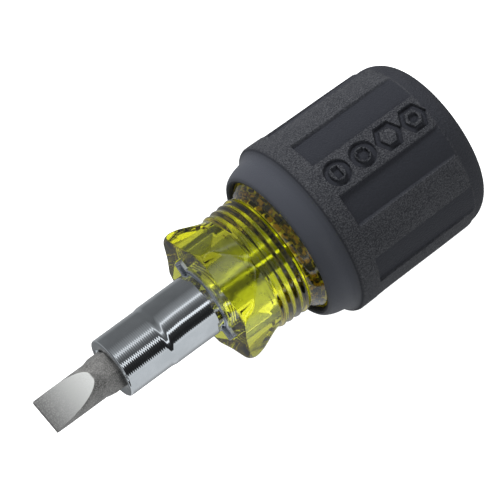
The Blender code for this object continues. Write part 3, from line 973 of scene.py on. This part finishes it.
# The studio as seen from the tool: brightness against the angle round the tool's axis, in degrees
STUDIO = [
    (-180, 0.3),
    (-140, 0.42),
    (-112, 0.2),
    (-55, 0.165),
    (-44, 0.24),
    (-28, 0.34),
    (-21, 0.5),
    (-15, 1.25),
    (-11, 0.7),
    (-7, 0.32),
    (4, 0.15),
    (18, 0.1),
    (21, 1.4),
    (26, 1.4),
    (30, 0.05),
    (50, 0.02),
    (64, 0.03),
    (68, 0.9),
    (76, 0.76),
    (138, 0.74),
    (165, 0.35),
    (180, 0.3),
]
STUDIO_TOP = 2.0  # the curve's full height
STUDIO_SKEW = math.radians(80)  # how far the pattern turns for each unit of direction along the axis
STUDIO_LEVEL_X = 0.282  # the direction along the axis where it isn't turned
SOFT_LIGHT = 0.55  # what lights rough surfaces
BACKDROP = 1.0
STUDIO_TINT = 0.96, 0.985, 1.0
INNER_LIGHT = 0.6, 1.9  # seen through the clear plastic, looking down and looking up
INNER_STUDIO = 0.95  # how much of the pattern a reflection inside the clear plastic shows
INNER_BASE, INNER_GAIN = 0.03, 2.3  # what is added to the pattern there, and how much brighter it is


def add_world():
    """The studio round the tool: white behind it, a pattern in reflections, an even light on the rest."""
    world = bpy.data.worlds.new("studio")
    world.use_nodes = True
    nodes, links = world.node_tree.nodes, world.node_tree.links

    def calculate(operation, a, b):
        node = nodes.new("ShaderNodeMath")
        node.operation = operation
        feed(links, node.inputs[0], a)
        feed(links, node.inputs[1], b)
        return node.outputs[0]

    def choose(factor, a, b):
        """a where the factor is 0, b where it is 1."""
        node = nodes.new("ShaderNodeMix")
        feed(links, node.inputs[0], factor)
        feed(links, node.inputs[2], a)
        feed(links, node.inputs[3], b)
        return node.outputs[0]

    split = nodes.new("ShaderNodeSeparateXYZ")
    links.new(nodes.new("ShaderNodeTexCoord").outputs["Generated"], split.inputs[0])
    x, y, z = split.outputs
    angle = calculate("ARCTAN2", calculate("MULTIPLY", y, -1.0), z)
    ray = nodes.new("ShaderNodeLightPath")
    inside = calculate("GREATER_THAN", ray.outputs["Transmission Depth"], 0.5)
    skew = calculate("MULTIPLY", calculate("SUBTRACT", 1.0, inside), STUDIO_SKEW)
    turn = calculate("MULTIPLY", calculate("SUBTRACT", x, STUDIO_LEVEL_X), skew)
    share = calculate("DIVIDE", calculate("ADD", angle, turn), TURN)
    curve = nodes.new("ShaderNodeFloatCurve")
    points = curve.mapping.curves[0].points
    for i, (degrees, value) in enumerate(STUDIO):
        at = (degrees + 180) / 360, value / STUDIO_TOP
        if i in (0, len(STUDIO) - 1):
            points[0 if i == 0 else -1].location = at
        else:
            points.new(*at)
    for point in points:
        point.handle_type = "VECTOR"
    curve.mapping.update()
    links.new(calculate("ADD", share, 0.5), curve.inputs["Value"])
    studio = calculate("MULTIPLY", curve.outputs[0], STUDIO_TOP)

    outer = choose(ray.outputs["Is Glossy Ray"], SOFT_LIGHT, studio)
    upward = calculate("ADD", calculate("MULTIPLY", z, 0.5), 0.5)
    clear = choose(upward, *INNER_LIGHT)
    reflected = calculate("GREATER_THAN", ray.outputs["Glossy Depth"], 0.5)
    glint = calculate("MULTIPLY", calculate("ADD", studio, INNER_BASE), INNER_GAIN)
    inner = choose(calculate("MULTIPLY", reflected, INNER_STUDIO), clear, glint)
    background = nodes["Background"]
    feed(links, background.inputs["Color"], STUDIO_TINT)
    lit = choose(ray.outputs["Is Camera Ray"], choose(inside, outer, inner), BACKDROP)
    feed(links, background.inputs["Strength"], lit)
    bpy.context.scene.world = world


def add_lights(camera):
    add_light("key", camera, (-0.28, 0.42, 0.2), (0.2, 0.14), 9.0)
    add_light("fill", camera, (0.4, -0.2, 0.45), (0.3, 0.3), 4.6)
    add_light("edge", camera, (0.1, 0.5, -0.02), (0.5, 0.15), 1.5)
    add_world()
    bpy.context.scene.view_settings.view_transform = "Standard"


# ------------------------------------------------------------------ the scene
camera = add_camera()
add_floor()
add_lights(camera)

looks = {
    "rubber": rubber(),
    "clear": clear_plastic(),
    "amber": amber(),
    "backing": backing(),
    "chrome": chrome(),
    "bit": bit_steel(),
    "liner": steel("liner_steel", (0.74, 0.78, 0.84), 0.28, 2000.0),
    "ball": steel("ball_steel", (0.72, 0.72, 0.72), 0.08, 900.0),
    "spring": steel("spring_wire", (0.45, 0.44, 0.42), 0.3, 3000.0),
}
build_grip(looks["rubber"])
build_core(looks["clear"])
build_interlock(looks["amber"])
build_backing(looks["backing"])
build_liner(looks["liner"])
build_tube(looks["chrome"])
build_bit("blade_bit", looks["bit"], LARGE_SHANK, "front_bit", "bit_front", False)
build_bit("spare_bit", looks["bit"], SMALL_SHANK, "rear_bit", "bit_rear", True)
for kind in ("ball", "spring"):
    for bit in ("front_bit", "rear_bit"):
        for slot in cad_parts[f"{bit}_{kind}"].material_slots:
            slot.material = looks[kind]
